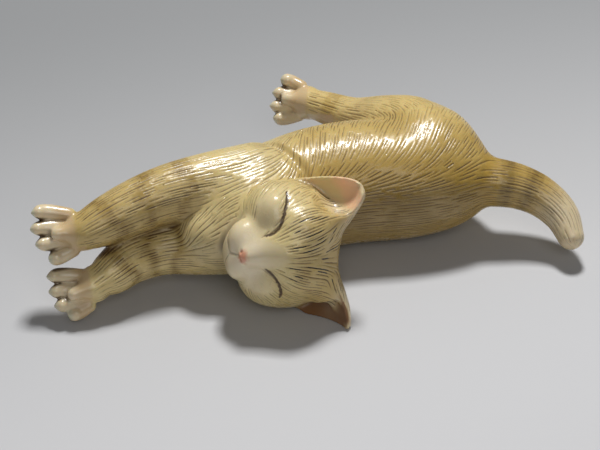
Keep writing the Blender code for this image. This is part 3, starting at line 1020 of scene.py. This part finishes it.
def paintCat(mesh):
    # Notes at every point how the carver tinted, stained and polished the ivory there, with painted shade in
    # hollows, under the forelegs and inside the lower ear
    spots = np.empty(len(mesh.vertices) * 3)
    mesh.vertices.foreach_get("co", spots)
    points = skinLow + (spots.reshape(-1, 3) - catLow - boxInset) / skinScale
    normals = np.empty(len(mesh.vertices) * 3)
    mesh.vertices.foreach_get("normal", normals)
    normals = normals.reshape(-1, 3)
    places = CatPlaces(points)
    local = places.local
    tone = np.tile(colour("honey"), (len(points), 1))

    def lay(name, share):
        tone[:] += np.clip(share, 0, 1)[:, None] * (colour(name) - tone)

    onTorso = rise(-places.torso[0], -1.6, -0.4)
    soot = 0.35 * onTorso
    back = rise(-places.spine, -math.radians(78), -math.radians(35))
    lay("amber", onTorso * (0.25 + 0.3 * rise(points[:, 0], 0, 18)))
    lay("amber", onTorso * 0.8 * back)
    lay("umber", onTorso * 0.55 * rise(-places.spine, -math.radians(40), -math.radians(12)))
    lay("straw", 0.75 * rise(-points[:, 0], -1.0, 5.0))
    for name in ("rightForeleg", "leftForeleg"):
        gap, way, outward, share = places.limbs[name]
        onLimb = rise(-gap, -0.9, -0.2) * rise(share, 0.1, 0.3)
        lay("honey", 0.5 * onLimb)
        soot = np.maximum(soot, 0.4 * onLimb * rise(share, 0.25, 0.5))
        if name == "rightForeleg":
            lay("amber", 0.4 * onLimb * rise(share, 0.25, 0.5))
        for band in ivoryForm["foreBands"]:
            width = ivoryForm["bandWidth"]
            turned = np.arctan2(outward[:, 2], outward[:, 1])
            wave = 0.03 * np.sin(2 * turned + 9 * band) + 0.018 * np.sin(5 * turned + 20 * band)
            stripe = onLimb * rise(-np.abs(share + wave - band), -width, 0.1 * width)
            soot = np.maximum(soot, stripe)
            lay("amber", 0.6 * stripe)
            lay("umber", 0.3 * stripe)
        # Painted shade: the underside of each foreleg, facing the floor, is darkened with amber
        lay("amber", 0.3 * onLimb * rise(-outward[:, 2], 0.1, 0.8))
    for name in ("rightHindleg", "leftHindleg"):
        gap, way, outward, share = places.limbs[name]
        onLimb = rise(-gap, -0.9, -0.2) * rise(share, 0.3, 0.6)
        lay("honey", 0.8 * onLimb)
        lay("amber", 0.5 * onLimb * rise(-np.abs(share - 0.8), -0.07, -0.03))
    gap, way, outward, share = places.limbs["tail"]
    onTail = rise(-gap, -0.9, -0.2) * rise(share, 0.05, 0.25)
    lay("amber", 0.75 * onTail)
    for band in ivoryForm["tailBands"]:
        stripe = onTail * rise(-np.abs(share - band), -0.08, 0.0)
        soot = np.maximum(soot, 0.8 * stripe)
        lay("umber", 0.6 * stripe)
    lay("cream", 0.8 * onTail * rise(share, 0.55, 0.85))
    onHead = rise(-places.head, -0.9, -0.2)
    soot = np.maximum(soot, 0.6 * onHead * rise(local[:, 0], 2.0, 5.0))
    lay("honey", 0.6 * onHead)
    lay("straw", 0.7 * onHead * rise(local[:, 2], 0.5, 4.5))
    lay("amber", 0.45 * onHead * rise(local[:, 0], 3.0, 5.5))
    lay("milk", 0.35 * places.muzzle())
    snout = (local - noseSpot) / np.array([3.2, 4.2, 4.0])
    lay("milk", 0.6 * rise(-np.linalg.norm(snout, axis=1), -1.2, -0.4))
    lids = places.lids(-1.5, -0.7)
    lay("milk", 0.35 * lids)
    nose = (local - noseSpot) / np.array([0.7, 0.9, 0.8])
    lay("blush", 0.8 * rise(-np.linalg.norm(nose, axis=1), -1.15, -0.75))
    pinkness = places.earHollow()
    lay("cream", 0.7 * places.nearEar() * (1 - pinkness) * rise(-local[:, 2], -1.5, 0.5))
    rightUp = places.ears["rightEar"][0]
    lay("pink", 0.85 * pinkness * (local[:, 1] > 0))
    lay("straw", 0.9 * pinkness * (local[:, 1] > 0) * rise(-rightUp, -0.6, -0.3))
    # Painted shade: the lower ear's pink inside, which faces down, is given a dark reddish brown
    lay("shadedEarPink", 0.9 * pinkness * (local[:, 1] < 0))
    lay("tan", 0.9 * places.paw)
    lay("cream", 0.8 * places.toe)
    lay("claw", 0.8 * places.claw)

    # Painted shade: skin in hollows and creases, by how closed in it is, is darkened towards the stain and
    # shade colour; the eye slits and lip lines add their real dark stain
    hollow = np.zeros(len(points))
    for reach in (0.5, 1.3):
        hollow += 0.5 * np.clip(1 - catField(points + reach * normals) / reach, 0, 1)
    hollow *= 1 - 0.9 * pinkness
    slits = rise(-places.slits, -0.1, 0.0)
    hollow = np.maximum(hollow, np.maximum(slits, 0.55 * rise(-places.lips, -0.1, 0.0)))
    ink = np.empty(len(points))
    mesh.attributes["ink"].data.foreach_get("value", ink)
    mesh.attributes["ink"].data.foreach_set("value", np.maximum(ink, 0.42 * slits).astype(np.float32))
    bare = np.clip(places.paw + places.muzzle() + 0.5 * lids + pinkness, 0, 1)
    layer = mesh.attributes.new("tone", "FLOAT_COLOR", "POINT")
    layer.data.foreach_set("color", np.column_stack([tone, np.ones(len(tone))]).astype(np.float32).ravel())
    for name, values in (("hollow", hollow), ("bare", bare), ("soot", soot)):
        layer = mesh.attributes.new(name, "FLOAT", "POINT")
        layer.data.foreach_set("value", values.astype(np.float32))


def ivoryFinish(ivory):
    ivory.use_nodes = True
    ivory.node_tree.nodes.clear()
    bench = Bench(ivory.node_tree)

    def noted(name, output="Fac"):
        return bench.node("ShaderNodeAttribute", {"attribute_name": name}, None, output)

    def swirl(size, detail=3.0):
        # size is that of a patch, in metres
        values = {"Vector": place, "Scale": 1 / size, "Detail": detail}
        return bench.node("ShaderNodeTexNoise", {"noise_dimensions": "3D"}, values)

    place = bench.node("ShaderNodeTexCoord", None, None, "Object")
    groove, ink, hollow, bare, soot = (noted(name) for name in ("groove", "ink", "hollow", "bare", "soot"))
    stainAndShade = (*colour("stainAndShade"), 1)
    patches = swirl(0.0045).between(0.5, 0.68)
    specks = swirl(0.0006, 2.0).between(0.62, 0.74)
    tone = noted("tone", "Color")
    tone = bench.mix(patches * (1 - bare) * 0.3, tone, (*colour("amber"), 1))
    tone = bench.mix(swirl(0.009).between(0.4, 0.8) * 0.2, tone, (*colour("cream"), 1))
    # Painted shade in hollows and creases, together with the real stain of the eye slits and lip lines
    tone = bench.mix(hollow.between(0.25, 0.9) * 0.85, tone, stainAndShade)
    darkness = swirl(0.003) * 0.5 + 0.25 + soot * 0.45
    tone = bench.mix(groove.between(0.12, 0.8) * darkness, tone, stainAndShade)
    tone = bench.mix(specks * (1 - bare) * 0.18, tone, stainAndShade)
    tone = bench.mix(ink.between(0.2, 0.7), tone, (*colour("ink"), 1))
    roughness = groove * 0.25 + hollow * 0.2 + swirl(0.0012) * 0.14 + 0.2 - bare * 0.03
    ripple = swirl(0.0009, 2.0) * 0.9 * (bare * -0.7 + 1.0)
    grain = swirl(0.00025, 2.0) * 0.25 + ripple - groove
    bump = bench.node("ShaderNodeBump", None, {"Strength": 0.5, "Distance": 0.00005, "Height": grain})
    surface = {
        "Base Color": tone,
        "Roughness": roughness,
        "Normal": bump,
        "IOR": 1.54,
        "Subsurface Weight": 0.18,
        "Subsurface Radius": (1.0, 0.55, 0.25),
        "Subsurface Scale": 0.0012,
        "Coat Weight": 0.2,
        "Coat Roughness": 0.12,
    }
    shader = bench.node("ShaderNodeBsdfPrincipled", None, surface)
    bench.node("ShaderNodeOutputMaterial", None, {"Surface": shader})


ivory = bpy.data.materials.new("ivory")
ivoryFinish(ivory)
cat = carveCat(ivory)
say(f"carved, {len(cat.data.polygons)} faces")
paintCat(cat.data)
say("tinted and stained")
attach(cat, "root")
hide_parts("cat")

# Camera, paper and room, in metres and degrees
view = {
    "elevation": 38.0,
    "distance": 0.210,
    "lens": 94.5,
    "sensor": 36.0,
    "paperHalf": 2.0,
    # paper colours near and far, a painted falloff of light across the floor
    "paperNear": (0.61, 0.61, 0.62, 1),
    "paperFar": (0.27, 0.275, 0.28, 1),
    "paperShadeFalloff": (-0.05, 0.075),
    "roomColour": (0.8, 0.8, 0.82, 1),
    "roomLight": 0.1,
}

# Each lamp: place, size and power
lamps = {
    "overhead": ((0.02, 0.15, 0.40), 0.07, 1.7),
    "window": ((0.1, -0.5, 0.45), 0.4, 0.8),
}


def buildStage():
    half = view["paperHalf"]
    corners = np.array([(-half, -half, 0), (half, -half, 0), (half, half, 0), (-half, half, 0)])
    floorMesh = meshFrom("floor", corners, np.array([[0, 1, 2, 3]]))
    floor = bpy.data.objects.new("floor", floorMesh)
    bpy.context.scene.collection.objects.link(floor)
    paper = bpy.data.materials.new("floorPaper")
    paper.use_nodes = True
    paper.node_tree.nodes.clear()
    bench = Bench(paper.node_tree)
    place = bench.node("ShaderNodeTexCoord", None, None, "Object")
    # Painted light falloff: the paper darkens away from the camera, a little towards its left
    fade = {0: place, 1: (-0.3, 1.0, 0.0)}
    way = bench.node("ShaderNodeVectorMath", {"operation": "DOT_PRODUCT"}, fade, "Value")
    grey = bench.mix(way.between(*view["paperShadeFalloff"]), view["paperNear"], view["paperFar"])
    shader = bench.node("ShaderNodeBsdfPrincipled", None, {"Base Color": grey, "Roughness": 0.7})
    bench.node("ShaderNodeOutputMaterial", None, {"Surface": shader})
    floorMesh.materials.append(paper)


def addLight(name, place, size, power):
    lamp = bpy.data.lights.new(name, "AREA")
    lamp.size = size
    lamp.energy = power
    holder = bpy.data.objects.new(name, lamp)
    holder.location = place
    holder.rotation_euler = (-Vector(place)).to_track_quat("-Z", "Y").to_euler()
    bpy.context.scene.collection.objects.link(holder)


buildStage()
for name, (place, size, power) in lamps.items():
    addLight(name, place, size, power)
world = bpy.data.worlds.new("room")
bpy.context.scene.world = world
world.use_nodes = True
backdrop = world.node_tree.nodes["Background"]
backdrop.inputs["Color"].default_value = view["roomColour"]
backdrop.inputs["Strength"].default_value = view["roomLight"]
# Standard shows the colours of ivoryForm as they are given
bpy.context.scene.view_settings.view_transform = "Standard"

aim = Vector(fitToSolid(np.zeros(3)))
tilt = math.radians(view["elevation"])
camera = bpy.data.objects.new("camera", bpy.data.cameras.new("camera"))
camera.data.lens = view["lens"]
camera.data.sensor_width = view["sensor"]
camera.data.clip_start = 0.01
camera.location = aim + view["distance"] * Vector((0, -math.cos(tilt), math.sin(tilt)))
camera.rotation_euler = (math.pi / 2 - tilt, 0, 0)
bpy.context.scene.collection.objects.link(camera)
bpy.context.scene.camera = camera

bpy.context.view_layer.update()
say("ready")
